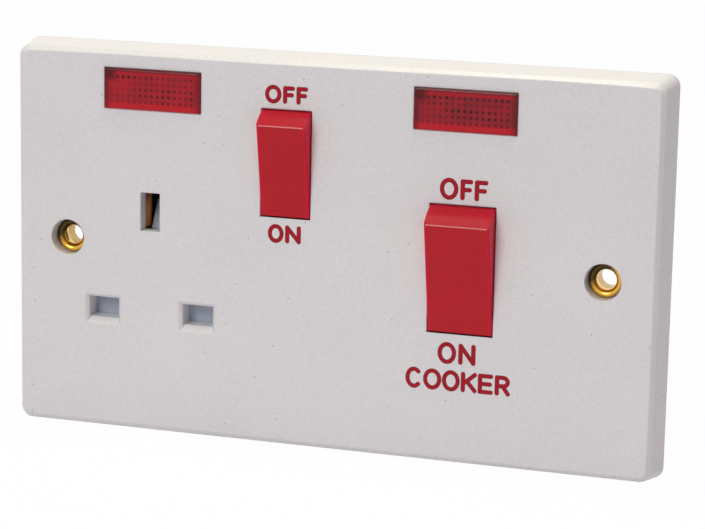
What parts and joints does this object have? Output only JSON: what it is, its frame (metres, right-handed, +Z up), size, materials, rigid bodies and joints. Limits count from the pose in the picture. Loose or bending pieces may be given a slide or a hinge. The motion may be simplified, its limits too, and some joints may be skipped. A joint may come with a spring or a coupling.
{
  "type": "cooker control unit",
  "caption": "White wall plate with a big red cooker rocker switch, a switched and shuttered socket outlet, red neon indicators and a rear moulding with screw terminals.",
  "frame": {"origin": "centre of the plate's back plane, midway between the two fixing screws", "axes": "+X right, +Z up, the front faces -Y, real size"},
  "size_m": [0.146, 0.0312, 0.086],
  "materials": {
    "white_moulding": "gloss",
    "red_rocker": "gloss",
    "red_lens": "clear gloss",
    "brass": "bright",
    "copper": "satin",
    "nylon": "satin",
    "spring_steel": "satin",
    "plated_steel": "bright",
    "black_moulding": "satin",
    "grey_moulding": "satin",
    "lamp_glass": "clear",
    "carrier_moulding": "satin",
    "resistor": "satin",
    "lead_sleeve": "satin"
  },
  "bodies": {
    "unit": {"base_screws": "plated_steel", "cooker_neon_carrier": "carrier_moulding", "cooker_neon_lamp": "lamp_glass", "cooker_neon_lead": "lead_sleeve", "cooker_neon_lens": "red_lens", "cooker_neon_resistor": "resistor", "earth_contact": "brass", "earth_strap": "brass", "earth_terminal": "brass", "earth_terminal_screws": "plated_steel", "front_plate": "white_moulding", "left_fixing_bush": "brass", "line_contact": "copper", "line_feed_bar": "copper", "load_line_terminal": "brass", "load_neutral_terminal": "brass", "neutral_contact": "copper", "rear_base": "black_moulding", "right_fixing_bush": "brass", "shutter_spring": "spring_steel", "socket_neon_carrier": "carrier_moulding", "socket_neon_lamp": "lamp_glass", "socket_neon_lead": "lead_sleeve", "socket_neon_lens": "red_lens", "socket_neon_resistor": "resistor", "supply_line_terminal": "brass", "supply_neutral_terminal": "brass", "terminal_screws": "plated_steel"},
    "cooker_rocker": {"cooker_rocker": "red_rocker", "cooker_line_plunger": "nylon", "cooker_neutral_plunger": "nylon", "cooker_line_spring": "spring_steel", "cooker_neutral_spring": "spring_steel"},
    "socket_rocker": {"socket_rocker": "red_rocker", "socket_plunger": "nylon", "socket_spring": "spring_steel"},
    "cooker_line_seesaw": {"cooker_line_seesaw": "copper"},
    "cooker_neutral_seesaw": {"cooker_neutral_seesaw": "copper"},
    "socket_seesaw": {"socket_seesaw": "copper"},
    "shutter": {"shutter": "grey_moulding"}
  },
  "joints": [
    {"name": "cooker_rocker_hinge", "type": "hinge", "parent": "unit", "child": "cooker_rocker", "pos_m": [0.02985, -0.00254, 0], "axis": [-1, 0, 0], "range_deg": [0, 23.2]},
    {"name": "socket_rocker_hinge", "type": "hinge", "parent": "unit", "child": "socket_rocker", "pos_m": [-0.00956, -0.0032, 0.0198], "axis": [-1, 0, 0], "range_deg": [0, 22]},
    {"name": "cooker_line_seesaw_hinge", "type": "hinge", "parent": "unit", "child": "cooker_line_seesaw", "pos_m": [0.03445, 0.01146, 0], "axis": [1, 0, 0], "range_deg": [0, 17]},
    {"name": "cooker_neutral_seesaw_hinge", "type": "hinge", "parent": "unit", "child": "cooker_neutral_seesaw", "pos_m": [0.02525, 0.01146, 0], "axis": [1, 0, 0], "range_deg": [0, 17]},
    {"name": "socket_seesaw_hinge", "type": "hinge", "parent": "unit", "child": "socket_seesaw", "pos_m": [-0.00956, 0.0088, 0.0198], "axis": [1, 0, 0], "range_deg": [0, 17]},
    {"name": "shutter_slide", "type": "slide", "parent": "unit", "child": "shutter", "axis": [0, 0, -1], "range_m": [0, 0.0058], "stiffness_N_per_m": 200, "springref_m": -0.002, "deforming": ["shutter_spring"]}
  ],
  "couplings": [
    {"joint": "cooker_line_seesaw_hinge", "follows": "cooker_rocker_hinge", "ratio": 0.7327},
    {"joint": "cooker_neutral_seesaw_hinge", "follows": "cooker_rocker_hinge", "ratio": 0.7327},
    {"joint": "socket_seesaw_hinge", "follows": "socket_rocker_hinge", "ratio": 0.7727}
  ]
}
